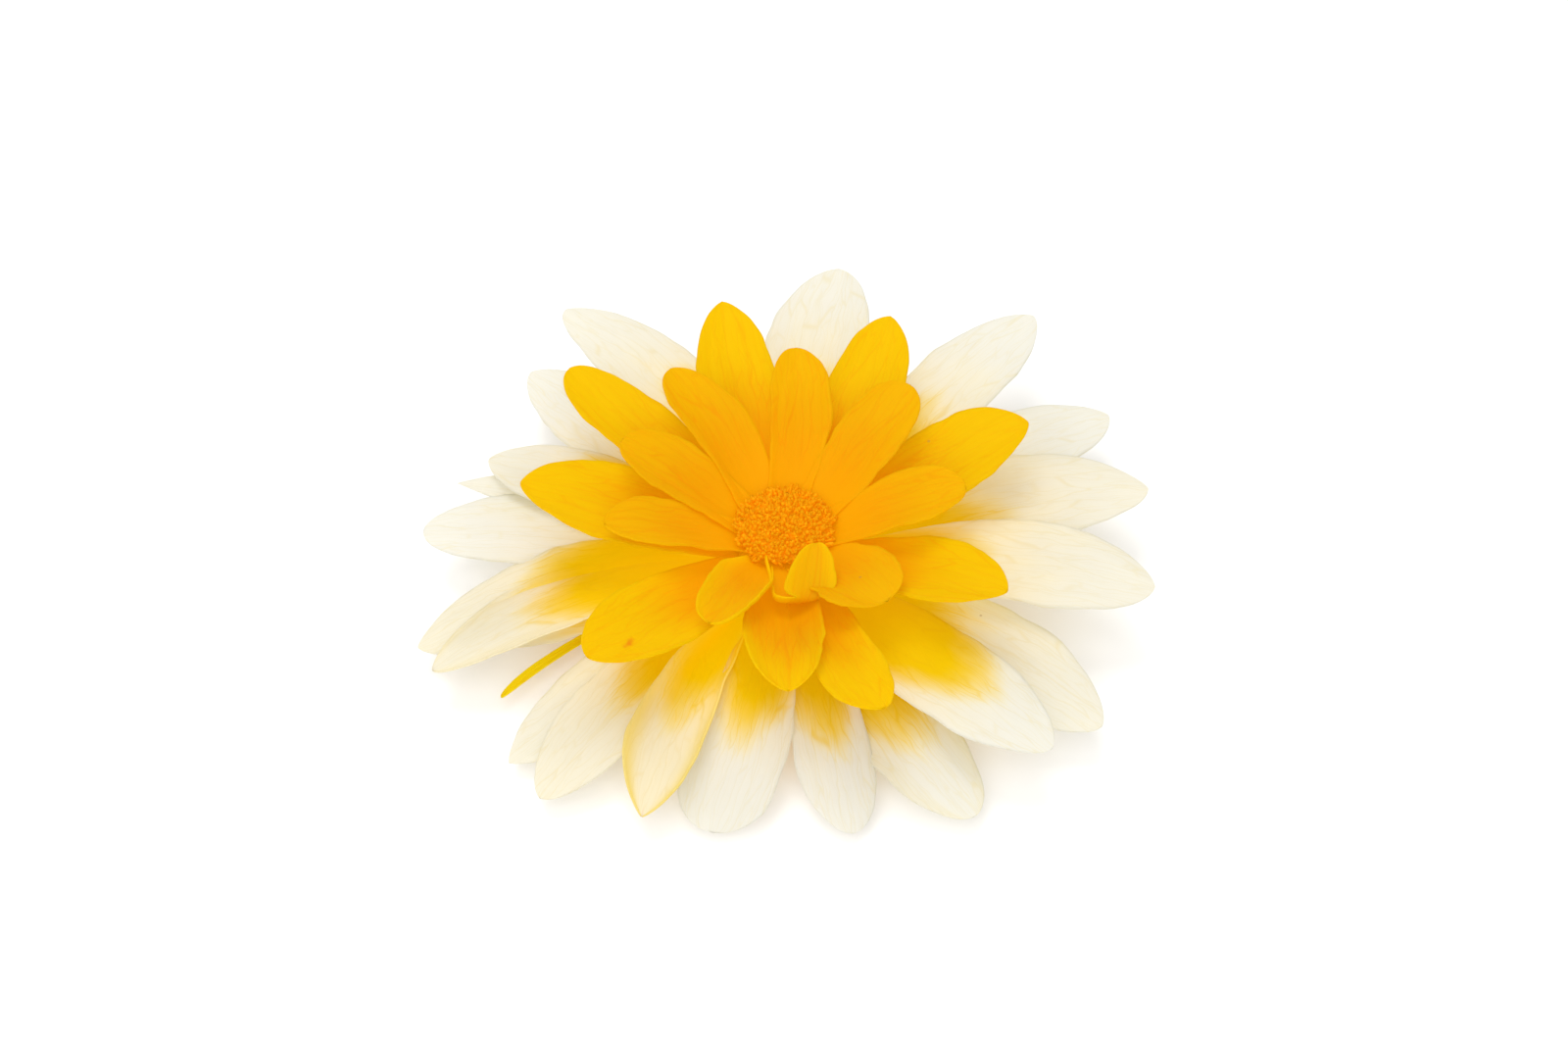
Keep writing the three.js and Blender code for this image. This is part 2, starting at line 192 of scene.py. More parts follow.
# The receptacle's outline from its cut foot to its top, as radius and height
RECEPTACLE_OUTLINE = (
    (0, 0), (3.6, 0), (4.8, 0.1), (5.6, 0.5), (6.6, 1), (6.95, 1.5), (6.7, 2), (4.6, 2.05), (4.6, 3.6),
    (4, 3.75), (4, 6.2), (3.5, 6.35), (3.5, 8.1), (3, 8.25), (3, 9.65), (0, 9.7),
)
FLANGE_HEIGHTS = (0.2, 2)  # between them the receptacle's flange is ribbed
FLANGE_FROM = 5  # radius past which it is
FLANGE_RIBS = 16
FLANGE_RIB_DEPTH = 0.02  # as a share of the radius
BRACT = dict(
    UNDER, root=5.5, root_height=1.1, reach=13, tip=1.3, width=5, bow=0.1, cup=0.2, claw=0.8, widest=0.3,
    point=0.9, fold=-0.15, uneven=0.1,
)
INNER_BRACT = dict(BRACT, root_height=1.9, reach=11.5, tip=2.1, width=4.2, bow=0, point=0.7)
BRACTS = 8  # in each of the two rows
BRACT_STATIONS = 20
BRACT_STRIPS = 8
BRACT_BLADE = 0.2

# The dome that the florets stand on
DISC_BOTTOM = 10
DISC_RADIUS = 5.2
DISC_RIM = 11
DISC_TOP = 12
DOME_FOOT = ((0, DISC_BOTTOM), (3, DISC_BOTTOM), (4.9, 10.6), (DISC_RADIUS, DISC_RIM))
DOME_SHARES = (0.9, 0.75, 0.55, 0.35, 0.18, 0)  # of the radius, where its outline has a point
DOME_SUNK = 0.05
DOME_SIDES = 48
DOME_GLOW_HEIGHT = 0.3  # it has the painted glow of a floret at this share of its height

# The florets: ranges are the least and the most that a random draw gives
SEED = 11
GOLDEN_ANGLE = math.pi * (3 - math.sqrt(5))
FLORET_SIDES = 5
FLORET_CUTS = 3
FLORET_SUNK = 0.4
RIM_GAP = 0.15  # between the outermost florets and the rim
SCATTER = (-0.35, 0.2)
LEAN_AT_RIM = 0.8
LEANS = (-0.7, 0.7)
LENGTHS = (0.6, 1.25)  # as shares of the floret length
WIDTHS = (0.75, 1.3)  # as shares of the floret radius
CURLS = (-2.4, 2.4)
NECK = 0.8  # width of a floret at its foot, as a share
FLARE = 0.7  # what is added to it up to the head
SWAY = 0.45  # how far a curl takes the head aside
SHORTENING = 0.12  # how much of the height a curl takes

# Shape that all petals share
SHOULDER = 1.3  # how late a petal widens from its claw
TIP_HALF = 0.06  # half the width left at a petal's tip
TIP_CROWDING = 1.7  # above 1, the steps along a petal are closer near its tip
TWIST_BY = 0.4  # share of the length by which a petal's roll is complete
WAIST_AT = 0.55  # where along a folded petal its near side is taken in
WAIST_SPREAD = 0.12
GUTTER_TO = 0.35  # share of the length over which a claw is channelled
UNROLL_OVER = 0.15  # share of the length over which a rolled margin flattens out
FLAT_TURN = 0.01  # below this many radians a margin isn't rolled
CREASE_ROUND = 0.12  # how round the crease is, as a share of the half width
CREASE_LEVEL = 0.5  # where the blade keeps its height beside the crease
RAGGED = 0.08  # how uneven the outline is
FINE_RAG_SHARE = 0.5
RIBS = 5  # ribs from margin to margin
RIB_DEPTH = 0.03
RIBS_BY = 0.3  # share of the length by which the ribs have their depth
RIB_WANDER = 4  # how far a rib wanders sideways, in radians of its wave
RELIEF_BY = 0.2  # share of the length by which the whole relief has its depth
STAIN_ASPECT = 0.15  # half a petal's width as a share of its length, so that stains are round

# How fast the smooth noise changes along a petal, across it and from petal to petal
RAGS = (5, 3, 5.3)
FINE_RAGS = (14, 5, 2.9)
BULGES = (3.2, 1.3, 7.7)
RIPPLES = (6, 2, 3.1)
RIB_DRIFT = (2, 4.1, 1)  # this one across, from petal to petal and along

# The place that a petal's patterns are drawn at, fanned out from its claw
FAN_NARROWING = 0.7
FAN_SPREAD = 1.6
FAN_APART = 3.7
SLANT_ZERO = 0.5  # added to the slant in the layer of dye and highlight, which holds no negative numbers

ROUND = 96  # sides of the turned pieces
WELD = 1e-7  # metres
TRANSLUCENT = 0.6  # share of the light that petals and florets pass on

# Patterns on petals, changing by their stretch along a petal, across it and from petal to petal
WANDER = dict(stretch=(0.22, 0.5, 1))
STREAKS = dict(stretch=(0.09, 1.6, 1), detail=4, roughness=0.6)
BLOTCHES = dict(stretch=(0.12, 0.3, 1))
SILK = dict(stretch=(0.3, 6, 1))
COARSE_VEINS = dict(stretch=(0.06, 0.7, 1), width=0.035)
FINE_VEINS = dict(stretch=(0.13, 1.5, 1), width=0.06)
VEIN_WANDER = 1.6
FINE_VEIN_SHARE = 0.6
# Patterns on Object coordinates, with their number of cells to the metre
SPECKS = 130
SKIN_GRAIN = dict(scale=5200)
FLORET_PATCHES = dict(scale=420, roughness=0.55)
FLORET_GRAIN = dict(scale=9000, roughness=0.55)
CALYX_PATCHES = dict(scale=260, detail=4, roughness=0.6)
FIBRES = dict(scale=1800, detail=3, roughness=0.6)
BUNDLES = dict(scale=2600)

# Smooth steps: where each starts and ends, and its values there where they aren't 0 and 1
VEINS_APPEAR = (0.15, 0.45)
TIP_COLOUR = (0.5, 1.02)
FLUSH = (-1.25, 0.5)  # as shares of the softness
SILK_SHARE = (0.35, 0.65, 0, 0.12)
SPECK_SHARE = (0.012, 0.028, 0.5, 0)
MARGIN_COLOUR = (0.4, 0.95)
TINT_GLOW = (0.3, 0.8, 0.5, 0)
FOOT_GLOW = (0.05, 0.65, 0.4, 0.06)
FLORET_GLOW = (0.4, 1, 0.45, 0.32)

# How far each thing moves the edge of the golden base
STREAK_REACH = 0.05
BLOTCH_REACH = 0.2
MARGIN_RETREAT = -0.22
MIDRIB_LEAD = 0.03

# How high each stands in the bump of a petal
SILK_HEIGHT = 0.5
GRAIN_HEIGHT = 0.35
VEIN_HEIGHT = -0.8

# What a row's dye and painted light do besides its three main colours
# flush: the colour between middle and base; rolled: the margins' colour, yellow dye on white petals and a
# painted highlight on the golden ones' rolled margins; glow: the colour of a painted glow that lifts the
# shade in the thin blade, in place of light scattered in it; softness: how gradually the base colour gives
# way;
# vein: the colour that veins take up; flow: how far the base colour runs out along them; lemon: how much
# yellower the light is that the blade passes on
WHITE_DYE_AND_PAINTED_LIGHT = dict(
    flush=linear(244, 226, 112), rolled=linear(240, 214, 50), painted_glow=(0.8, 0.63, 0), softness=0.12,
    vein=(0.97, 0.935, 0.82), flow=0.035, lemon=0,
)
YELLOW_DYE_AND_PAINTED_LIGHT = dict(painted_glow=(0.7, 0.4, 0), softness=0.26, vein=(1, 0.86, 1), flow=0.05, lemon=0.3)
# The golden row's margin colour, lighter than its blade, is a painted highlight on its rolled margins
GOLDEN_DYE_AND_PAINTED_LIGHT = dict(
    rolled=linear(242, 208, 0), painted_glow=(0.45, 0.3, 0), softness=0.28, vein=(1, 0.85, 1), flow=0.06, lemon=0.2,
)
UNDER_DYE_AND_PAINTED_LIGHT = dict(
    tip=linear(246, 226, 20), middle=linear(246, 224, 4), base=linear(244, 216, 0), flush=linear(246, 224, 4),
    rolled=linear(246, 224, 10), painted_glow=(1, 0.75, 0), softness=0.3, vein=(1, 0.9, 1), flow=0.1, lemon=0,
)
SPECK_COLOUR = linear(150, 110, 60)
STAIN_COLOUR = linear(226, 96, 10)
LEMON_LIGHT = linear(255, 236, 50)
FLORET_BRIGHT = linear(250, 182, 5)
FLORET_PAINTED_GLOW = (0.85, 0.28, 0)
BROWNED = linear(168, 140, 74)
BROWN_TIPS = linear(176, 148, 82)
PITH = linear(226, 208, 158)
PITH_RING = linear(188, 172, 104)
BUNDLE_COLOUR = linear(158, 128, 72)

# The studio, in metres
FLOOR_HALF = 2
FLOOR_COLOUR = (0.86, 0.86, 0.86, 1)
FLOOR_GLOW = 0.08
LOOK_AT = (0, 0, 0.012)
SENSOR_WIDTH = 36
NEAREST = 0.01
LAMPS = {"key": ((-0.12, 0.26, 0.76), 0.5), "fill": ((-0.12, -0.45, 0.55), 0.9)}  # place and size
WHITE_LIGHT = (1, 1, 1, 1)
GAMMA = 1.3  # how much the picture's middle tones are lifted


def colour_setting(name, description, red, green, blue):
    """A colour that a user can change, with a screen colour as its default."""
    return bpy.props.FloatVectorProperty(
        name=name, description=description, default=linear(red, green, blue), size=3, min=0, max=1,
        subtype="COLOR")


# Settings that a user would change
class DahliaPetalSettings(bpy.types.PropertyGroup):
    stations: bpy.props.IntProperty(
        name="Steps along", description="Faces along a petal, from its claw to its tip", default=58, min=8,
        max=90)
    strips: bpy.props.IntProperty(
        name="Steps across", description="Faces across a petal", default=26, min=4, max=40)
    blade: bpy.props.FloatProperty(
        name="Blade thickness", description="Thickness of a petal's blade", default=0.0002, min=0.0001,
        max=0.0006, subtype="DISTANCE", unit="LENGTH")
    relief: bpy.props.FloatProperty(
        name="Relief", description="Strength of the ribs and undulations", default=1, min=0, max=2,
        subtype="FACTOR")


class DahliaColourSettings(bpy.types.PropertyGroup):
    white_tip: colour_setting("White petal tip", "Colour of a white petal near its tip", 236, 235, 228)
    white_middle: colour_setting(
        "White petal middle", "Colour of a white petal past its golden base", 245, 239, 212)
    white_base: colour_setting("White petal base", "Golden colour of a white petal's base", 240, 206, 0)
    yellow_tip: colour_setting("Yellow petal tip", "Colour of a yellow petal near its tip", 235, 193, 0)
    yellow_middle: colour_setting("Yellow petal middle", "Colour halfway along a yellow petal", 235, 198, 0)
    yellow_base: colour_setting("Yellow petal base", "Colour of a yellow petal's base", 233, 160, 0)
    golden_tip: colour_setting("Golden petal tip", "Colour of a golden petal near its tip", 237, 186, 0)
    golden_middle: colour_setting("Golden petal middle", "Colour halfway along a golden petal", 237, 182, 0)
    golden_base: colour_setting("Golden petal base", "Colour of a golden petal's base", 238, 166, 0)
    floret: colour_setting("Floret", "Colour of the disc's florets", 236, 168, 0)
    calyx: colour_setting("Receptacle", "Colour of the receptacle and its bracts", 154, 163, 82)


class DahliaDiscSettings(bpy.types.PropertyGroup):
    florets: bpy.props.IntProperty(
        name="Florets", description="How many florets cover the disc", default=1100, min=80, max=1200)
    length: bpy.props.FloatProperty(
        name="Floret length", description="Length of a floret above the dome", default=0.0011, min=0.0004,
        max=0.002, subtype="DISTANCE", unit="LENGTH")
    radius: bpy.props.FloatProperty(
        name="Floret radius", description="Radius of a floret's tube", default=0.00013, min=0.00005,
        max=0.0003, subtype="DISTANCE", unit="LENGTH")


class DahliaStudioSettings(bpy.types.PropertyGroup):
    elevation: bpy.props.FloatProperty(
        name="Camera elevation", description="Angle of the camera above the floor", default=math.radians(50),
        min=0, max=math.pi / 2, subtype="ANGLE", unit="ROTATION")
    distance: bpy.props.FloatProperty(
        name="Camera distance", description="From the camera to the point it looks at", default=0.4, min=0.1,
        max=2, subtype="DISTANCE", unit="LENGTH")
    lens: bpy.props.FloatProperty(
        name="Lens", description="Focal length of the camera, for a sensor 36 mm wide", default=82.8, min=20,
        max=200, unit="CAMERA")
    key: bpy.props.FloatProperty(
        name="Key light", description="Power of the large soft light behind and to the left", default=3.1,
        min=0, max=20, unit="POWER")
    fill: bpy.props.FloatProperty(
        name="Fill light", description="Power of the soft light in front", default=3.6, min=0, max=20,
        unit="POWER")
    sky: bpy.props.FloatProperty(
        name="Surrounding light", description="Strength of the even white light from all round", default=0.7,
        min=0, max=3)


# Shader nodes
def add_node(tree, kind, **settings):
    node = tree.nodes.new("ShaderNode" + kind)
    for key, value in settings.items():
        setattr(node, key, value)
    return node


def feed(tree, socket, value):
    """Links a socket to another node's output, or sets it to a plain value."""
    if isinstance(value, bpy.types.NodeSocket):
        tree.links.new(value, socket)
    elif value is not None:
        socket.default_value = value


def calculate(tree, operation, *values, clamp=False):
    node = add_node(tree, "Math", operation=operation, use_clamp=clamp)
    for socket, value in zip(node.inputs, values):
        feed(tree, socket, value)
    return node.outputs[0]


def rise(tree, value, low, high, start=0.0, end=1.0):
    """A smooth step from start to end as value goes from low to high."""
    node = add_node(tree, "MapRange", interpolation_type="SMOOTHSTEP")
    given = {"Value": value, "From Min": low, "From Max": high, "To Min": start, "To Max": end}
    for name, setting in given.items():
        feed(tree, node.inputs[name], setting)
    return node.outputs["Result"]


def mix(tree, share, first, second, blend="MIX"):
    """Two colours mixed; a colour is a node's output or three linear values."""
    node = add_node(tree, "Mix", data_type="RGBA", blend_type=blend, clamp_factor=True)
    feed(tree, node.inputs["Factor"], share)
    for socket, value in ((node.inputs[6], first), (node.inputs[7], second)):
        feed(tree, socket, value if isinstance(value, bpy.types.NodeSocket) else (*value, 1))
    return node.outputs[2]


def vector(tree, x, y, z=0.0):
    node = add_node(tree, "CombineXYZ")
    for socket, value in zip(node.inputs, (x, y, z)):
        feed(tree, socket, value)
    return node.outputs[0]


def attribute(tree, name):
    """The outputs of a layer that a piece's mesh holds."""
    return add_node(tree, "Attribute", attribute_name=name).outputs


def split(tree, place):
    """The three parts of a place."""
    axes = add_node(tree, "SeparateXYZ")
    feed(tree, axes.inputs[0], place)
    return axes.outputs


def stretched(tree, place, stretch):
    mapping = add_node(tree, "Mapping")
    feed(tree, mapping.inputs["Vector"], place)
    mapping.inputs["Scale"].default_value = stretch
    return mapping.outputs[0]


def mottle(tree, place, scale=1, detail=2, roughness=0.5, stretch=(1, 1, 1)):
    """A noise value round 0.5 at a place, stretched along its axes."""
    node = add_node(tree, "TexNoise")
    feed(tree, node.inputs["Vector"], stretched(tree, place, stretch))
    node.inputs["Scale"].default_value = scale
    node.inputs["Detail"].default_value = detail
    node.inputs["Roughness"].default_value = roughness
    return node.outputs[0]


def cell_distance(tree, place, scale=1, feature="F1"):
    """How far a place is from the middle of the nearest cell of a random pattern, or from its border."""
    cells = add_node(tree, "TexVoronoi", feature=feature)
    feed(tree, cells.inputs["Vector"], place)
    cells.inputs["Scale"].default_value = scale
    return cells.outputs["Distance"]


def warped(tree, place, amount):
    """A place that wanders sideways, so that lines drawn at it aren't straight."""
    wander = mottle(tree, place, **WANDER)
    along, across, number = split(tree, place)
    return vector(tree, along, calculate(tree, "MULTIPLY_ADD", wander, amount, across), number)


def veins(tree, place, stretch, width):
    """Thin branching lines: the borders of cells drawn out along the petal."""
    border = cell_distance(tree, stretched(tree, place, stretch), feature="DISTANCE_TO_EDGE")
    return rise(tree, border, 0.0, width, 1.0, 0.0)


def scaled(values, factor):
    return tuple(value * factor for value in values)


# Materials
def blank_material(name):
    """A material without nodes, and its node tree."""
    material = bpy.data.materials.new(name)
    material.use_nodes = True
    material.node_tree.nodes.clear()
    return material, material.node_tree


def bumped(tree, height, strength, depth):
    """A normal bumped by a height, to a depth in millimetres."""
    bump = add_node(tree, "Bump")
    bump.inputs["Strength"].default_value = strength
    bump.inputs["Distance"].default_value = depth * MM
    feed(tree, bump.inputs["Height"], height)
    return bump.outputs[0]


def principled(tree, colour, roughness, specular, normal):
    shader = add_node(tree, "BsdfPrincipled")
    feed(tree, shader.inputs["Base Color"], colour)
    feed(tree, shader.inputs["Roughness"], roughness)
    shader.inputs["Specular IOR Level"].default_value = specular
    feed(tree, shader.inputs["Normal"], normal)
    return shader


def thin(tree, shader, painted_glow, strength, passed, normal=None):
    """A shader that also passes light on, in the colour passed, and a painted glow for light scattered in it.
    """
    shader.inputs["Emission Color"].default_value = (*painted_glow, 1)
    feed(tree, shader.inputs["Emission Strength"], strength)
    through = add_node(tree, "BsdfTranslucent")
    feed(tree, through.inputs["Color"], passed)
    feed(tree, through.inputs["Normal"], normal)
    blended = add_node(tree, "MixShader")
    blended.inputs["Fac"].default_value = TRANSLUCENT
    tree.links.new(shader.outputs[0], blended.inputs[1])
    tree.links.new(through.outputs[0], blended.inputs[2])
    return blended


def put_out(tree, shader):
    output = add_node(tree, "OutputMaterial")
    tree.links.new(shader.outputs[0], output.inputs["Surface"])


def petal_material(name, tip, middle, base, flush, rolled, painted_glow, softness, vein, flow, lemon):
    """A petal's dye from tip to base, veins, satin surface, and what its row's dye and painted light do."""
    material, tree = blank_material(name)
    fan = attribute(tree, "fan")["Vector"]
    dye = attribute(tree, "dye")
    along, across, _ = split(tree, attribute(tree, "place")["Vector"])
    parts = add_node(tree, "SeparateColor")
    tree.links.new(dye["Color"], parts.inputs[0])
    reach, slant, tint = parts.outputs

    # Veins in two sizes, fading towards the claw
    wandering = warped(tree, fan, VEIN_WANDER)
    coarse = veins(tree, wandering, **COARSE_VEINS)
    fine = veins(tree, wandering, **FINE_VEINS)
    lines = calculate(tree, "MAXIMUM", coarse, calculate(tree, "MULTIPLY", fine, FINE_VEIN_SHARE))
    lines = calculate(tree, "MULTIPLY", lines, rise(tree, along, *VEINS_APPEAR))

    # How far into the golden base a point lies: less near the margins, more along a vein
    streaks = mottle(tree, fan, **STREAKS)
    blotches = mottle(tree, fan, **BLOTCHES)
    inward = calculate(tree, "SUBTRACT", reach, along)
    sideways = calculate(tree, "MULTIPLY", calculate(tree, "SUBTRACT", slant, SLANT_ZERO), across)
    squared = calculate(tree, "MULTIPLY", across, across)
    for share, amount, shift in (
        (sideways, 1, 0),
        (streaks, STREAK_REACH, -STREAK_REACH / 2),
        (blotches, BLOTCH_REACH, -BLOTCH_REACH / 2),
        (squared, MARGIN_RETREAT, MIDRIB_LEAD),
        (lines, flow, 0),
    ):
        inward = calculate(tree, "ADD", inward, calculate(tree, "MULTIPLY_ADD", share, amount, shift))

    # From the tip's colour through the middle, the tint and the flush to the base
    outer = rise(tree, calculate(tree, "MULTIPLY_ADD", blotches, 0.3, along), *TIP_COLOUR)
    colour = mix(tree, outer, middle, tip)
    colour = mix(tree, calculate(tree, "MULTIPLY", tint, 0.75), colour, mix(tree, 0.5, base, middle))
    colour = mix(tree, rise(tree, inward, *scaled(FLUSH, softness)), colour, flush)
    colour = mix(tree, rise(tree, inward, -softness, softness), colour, base)
    colour = mix(tree, lines, colour, vein, "MULTIPLY")

    # A faint silky striation, and a few tiny dark specks
    silk = mottle(tree, fan, **SILK)
    colour = mix(tree, rise(tree, silk, *SILK_SHARE), colour, vein, "MULTIPLY")
    skin = add_node(tree, "TexCoord").outputs["Object"]
    specks = rise(tree, cell_distance(tree, skin, SPECKS), *SPECK_SHARE)
    colour = mix(tree, specks, colour, SPECK_COLOUR)

    # Margins: yellow dye on white petals, a painted highlight on the golden ones' rolled margins; and stains
    outside = rise(tree, calculate(tree, "ABSOLUTE", across), *MARGIN_COLOUR)
    colour = mix(tree, calculate(tree, "MULTIPLY", outside, dye["Alpha"]), colour, rolled)
    colour = mix(tree, attribute(tree, "stain")["Fac"], colour, STAIN_COLOUR)

    # Relief too fine for the mesh: silk, veins and the skin's grain
    grain = calculate(tree, "MULTIPLY", mottle(tree, skin, **SKIN_GRAIN), GRAIN_HEIGHT)
    height = calculate(tree, "MULTIPLY_ADD", silk, SILK_HEIGHT, grain)
    height = calculate(tree, "MULTIPLY_ADD", lines, VEIN_HEIGHT, height)
    normal = bumped(tree, height, strength=0.3, depth=0.06)

    # A painted glow that lifts the shade: stronger near the foot, where petals stand close and shade each
    # other, and in a petal that is yellow all over
    glow_from_tint = calculate(tree, "MULTIPLY", tint, rise(tree, along, *TINT_GLOW))
    painted_glow_strength = calculate(tree, "ADD", glow_from_tint, rise(tree, along, *FOOT_GLOW))
    shader = principled(tree, colour, roughness=0.6, specular=0.03, normal=normal)
    put_out(tree, thin(tree, shader, painted_glow, painted_glow_strength, mix(tree, lemon, colour, LEMON_LIGHT), normal))
    return material


def floret_material(colour):
    """Orange florets, each a little lighter or darker, with a painted glow that lifts the shade at their
    feet.
    """
    material, tree = blank_material("floret")
    own, height, _ = split(tree, attribute(tree, "shade")["Vector"])
    place = add_node(tree, "TexCoord").outputs["Object"]
    grain = mottle(tree, place, **FLORET_GRAIN)
    light = calculate(tree, "MULTIPLY_ADD", mottle(tree, place, **FLORET_PATCHES), 0.5, own)
    dark = (colour[0], colour[1] * 0.9, colour[2])
    shown = mix(tree, rise(tree, light, 0.2, 0.75), dark, colour)
    shown = mix(tree, rise(tree, light, 0.85, 1.35), shown, FLORET_BRIGHT)
    normal = bumped(tree, grain, strength=0.25, depth=0.04)
    shader = principled(
        tree, shown, roughness=rise(tree, grain, 0.3, 0.7, 0.5, 0.8), specular=0.06, normal=normal)
    # A painted glow that lifts the shade between the florets, strongest at their feet
    put_out(tree, thin(tree, shader, FLORET_PAINTED_GLOW, rise(tree, height, *FLORET_GLOW), shown))
    return material


def calyx_material(colour):
    """Dried green receptacle and bracts, ribbed and browned, with the pale pith of the cut stem below."""
    material, tree = blank_material("calyx")
    place = add_node(tree, "TexCoord").outputs["Object"]
    x, y, z = split(tree, place)
    squares = calculate(tree, "ADD", calculate(tree, "MULTIPLY", x, x), calculate(tree, "MULTIPLY", y, y))
    radius = calculate(tree, "SQRT", squares)
    patches = mottle(tree, place, **CALYX_PATCHES)
    fibres = mottle(tree, place, **FIBRES)
    bundles = mottle(tree, place, **BUNDLES)

    # Green in patches, browned along its fibres and at the bracts' tips, 8.5 to 13.2 mm out
    shown = mix(tree, rise(tree, patches, 0.35, 0.68), scaled(colour, 0.72), scaled(colour, 1.15))
    shown = mix(tree, rise(tree, fibres, 0.55, 0.75, 0, 0.5), shown, BROWNED)
    shown = mix(tree, rise(tree, radius, 0.0085, 0.0132, 0, 0.75), shown, BROWN_TIPS)

    # The cut face: pith inside a darker ring, with the ends of the bundles
    low = rise(tree, z, 0.00004, 0.00016, 1, 0)
    cut = calculate(tree, "MULTIPLY", low, rise(tree, radius, 0.0044, 0.0048, 1, 0))
    pith = mix(tree, rise(tree, radius, 0.0026, 0.0036), PITH, PITH_RING)
    pith = mix(tree, rise(tree, bundles, 0.5, 0.66, 0, 0.7), pith, BUNDLE_COLOUR)
    shown = mix(tree, cut, shown, pith)

    normal = bumped(tree, calculate(tree, "ADD", fibres, bundles), strength=0.5, depth=0.1)
    roughness = rise(tree, fibres, 0.3, 0.7, 0.65, 0.9)
    put_out(tree, principled(tree, shown, roughness, specular=0.25, normal=normal))
    return material


# Petal shapes
def width_share(shape, along, across):
    """Share of the full width at a place along the petal, from 0 at the root to 1 at the tip."""
    widest = shape["widest"] + shape["skew"] * across
    if along < widest:
        rising = math.sin(along / widest * math.pi / 2)
        return shape["claw"] + (1 - shape["claw"]) * rising ** SHOULDER
    past = (along - widest) / (1 - widest)
    return max(1 - past * past, 0) ** shape["point"]


def midrib_point(shape, along):
    """Distance out and height of the midrib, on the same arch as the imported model's."""
    out, up = shape.get("knee") or (
        (shape["root"] + shape["reach"]) / 2,
        (shape["root_height"] + shape["tip"]) / 2 + 2 * shape["bow"],
    )
    left, right = (1 - along) ** 2, along ** 2
    middle = 2 * along * (1 - along)
    return (
        left * shape["root"] + middle * out + right * shape["reach"],
        left * shape["root_height"] + middle * up + right * shape["tip"],
    )


def roll_margin(half, across, turn, start):
    """How far sideways and up a place is where the blade is rolled up by turn radians past a share start."""
    past = abs(across) - start
    if turn < FLAT_TURN or past <= 0:
        return half * across, 0
    radius = half * (1 - start) / turn
    angle = turn * past / (1 - start)
    return math.copysign(half * start + radius * math.sin(angle), across), radius * (1 - math.cos(angle))


def unevenness(place, pace):
    """Smooth noise between about -1 and 1 at a place, at its own pace along each axis."""
    return noise.noise(Vector([value * step for value, step in zip(place, pace)]))


def blade_relief(shape, along, across, number):
    """How far ribs, bulges and rippling margins lift a blade."""
    side = 1 if across > 0 else -1
    phase = RIB_WANDER * unevenness((across, number, along), RIB_DRIFT)
    ribs = math.cos(math.pi * RIBS * across + phase) * RIB_DEPTH * min(1, along / RIBS_BY)
    bulge = unevenness((along, across, number), BULGES) * shape["uneven"]
    ripple = unevenness((along, side, number), RIPPLES) * shape["wave"] * across * across
    return (ribs + bulge + ripple) * min(1, along / RELIEF_BY)


def petal_point(shape, along, across, number, relief):
    """A point of the petal's middle surface, and half its width there.

    along runs from 0 at the root to 1 at the tip, across from -1 to 1 between the margins.
    """
    azimuth = math.radians(shape["azimuth"])
    out, height = midrib_point(shape, along)
    share = width_share(shape, along, across)
    side = 1 if across > 0 else -1
    rough = unevenness((along, side, number), RAGS)
    rough += FINE_RAG_SHARE * unevenness((along, side, number), FINE_RAGS)
    half = max(shape["width"] * share / 2 * (1 + RAGGED * relief * rough * across * across), TIP_HALF)
    if across < 0:
        half *= 1 - shape["waist"] * math.exp(-(((along - WAIST_AT) / WAIST_SPREAD) ** 2))
    unrolled = min(1, max(0, (shape["furl_to"] - along) / UNROLL_OVER))
    turn = shape["furl"][0 if across < 0 else 1] * unrolled
    flat, rolled = roll_margin(half, across, turn, shape["furl_from"])
    twist = math.radians(shape["roll"]) * min(1, along / TWIST_BY)
    offset = shape["bend"] * 4 * along * (1 - along) + shape["veer"] * along * along + flat * math.cos(twist)
    lift = flat * math.sin(twist) + shape["cup"] * share * across * across + rolled
    lift += shape["fold"] * share * (math.hypot(across, CREASE_ROUND) - CREASE_LEVEL)
    lift += shape["gutter"] * across * across * max(0, 1 - along / GUTTER_TO) ** 2
    lift += relief * share * blade_relief(shape, along, across, number)
    x, y = math.cos(azimuth), math.sin(azimuth)
    return Vector((out * x - offset * y, out * y + offset * x, height + lift)) * MM, half


def stain_at(shape, along, across):
    """How brown a place is, from the petal's stains."""
    amount = 0.0
    for spot_along, spot_across, radius, strength in shape["stains"]:
        away = math.hypot(along - spot_along, (across - spot_across) * STAIN_ASPECT) / radius
        amount = max(amount, strength * max(0, 1 - away * away))
    return amount


class PetalMarks:
    """The point layers that a petal's shader reads."""

    def __init__(self, bm):
        layers = bm.verts.layers
        self.place = layers.float_vector.new("place")
        self.fan = layers.float_vector.new("fan")
        self.dye = layers.float_color.new("dye")
        self.stain = layers.float.new("stain")


